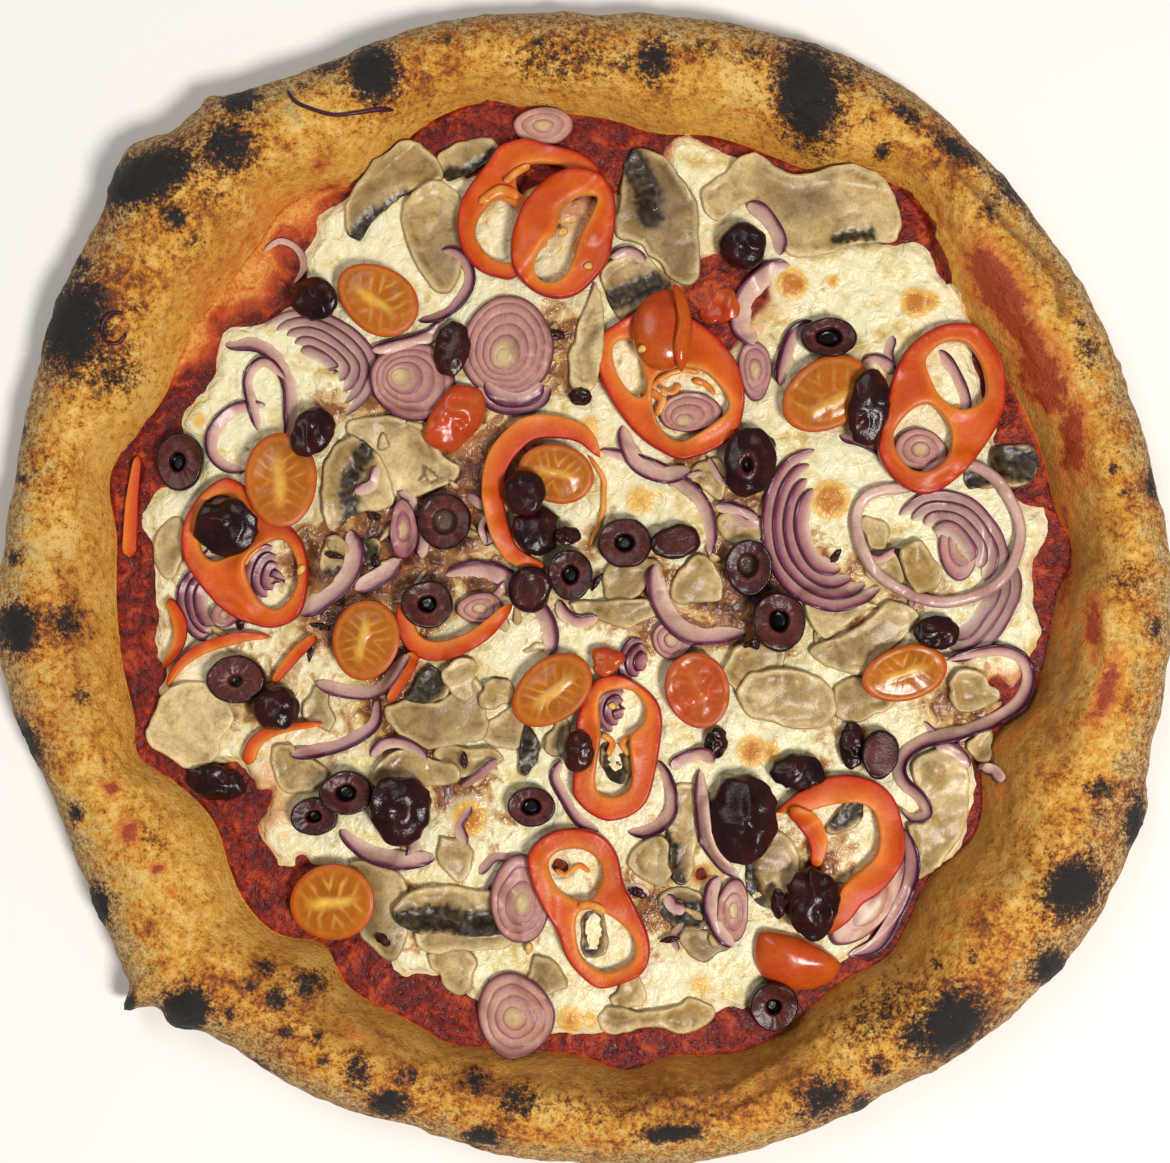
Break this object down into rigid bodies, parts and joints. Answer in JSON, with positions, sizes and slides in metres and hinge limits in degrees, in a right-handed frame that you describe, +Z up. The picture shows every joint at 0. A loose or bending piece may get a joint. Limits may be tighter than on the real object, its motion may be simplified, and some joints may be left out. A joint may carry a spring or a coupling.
{
  "type": "vegetarian pizza",
  "caption": "Whole uncut round pizza with a puffed charred rim, tomato sauce, melted cheese and pepper, tomato, olive, onion and mushroom toppings.",
  "frame": {"origin": "middle of the pizza's box, on the surface that it rests on", "axes": "+Z up out of the toppings, +X to the right and +Y to the top of the picture"},
  "size_m": [0.3206, 0.3156, 0.025],
  "materials": {
    "crust": "baked wheat dough, golden yellow with brown freckles and black char spots, dry and floury outside",
    "sauce": "cooked tomato sauce, dark red, wet and slightly grainy",
    "cheese": "melted mozzarella, cream white, soft gloss, browned blisters",
    "pepper": "roasted red bell pepper, orange-red, glossy skin",
    "tomato": "roasted cherry tomato, orange cut face, wet",
    "olive": "black olive, dark purple-brown, oily",
    "onion": "red onion, pale pink-violet with dark purple skin edges, wet",
    "mushroom": "cooked button mushroom, tan with dark brown gills, moist"
  },
  "bodies": {
    "root": {"crust": "crust", "tomato_sauce": "sauce", "mozzarella": "cheese", "mushroom_1": "mushroom", "mushroom_2": "mushroom", "mushroom_3": "mushroom", "mushroom_4": "mushroom", "mushroom_5": "mushroom", "mushroom_6": "mushroom", "onion_slice_1": "onion", "onion_slice_2": "onion", "onion_slice_3": "onion", "onion_slice_4": "onion", "onion_strip_1": "onion", "onion_loop_1": "onion", "onion_strip_2": "onion", "onion_strip_3": "onion", "pepper_ring_1": "pepper", "pepper_ring_2": "pepper", "pepper_ring_3": "pepper", "pepper_ring_4": "pepper", "pepper_ring_5": "pepper", "pepper_ring_6": "pepper", "pepper_ring_7": "pepper", "pepper_strip_1": "pepper", "pepper_strip_2": "pepper", "pepper_strip_3": "pepper", "pepper_strip_4": "pepper", "pepper_strip_5": "pepper", "tomato_half_1": "tomato", "tomato_half_2": "tomato", "tomato_half_3": "tomato", "tomato_half_4": "tomato", "tomato_half_5": "tomato", "tomato_half_6": "tomato", "tomato_half_7": "tomato", "tomato_half_8": "tomato", "tomato_half_9": "tomato", "tomato_back_1": "tomato", "tomato_back_2": "tomato", "tomato_back_3": "tomato", "olive_1": "olive", "olive_slice_1": "olive", "olive_2": "olive", "olive_slice_2": "olive", "olive_3": "olive", "olive_4": "olive", "olive_slice_3": "olive", "olive_5": "olive", "olive_slice_4": "olive", "olive_6": "olive", "olive_slice_5": "olive", "olive_slice_6": "olive", "olive_slice_7": "olive", "olive_slice_8": "olive", "olive_7": "olive", "olive_8": "olive", "olive_9": "olive", "olive_slice_9": "olive", "olive_10": "olive"}
  },
  "joints": []
}
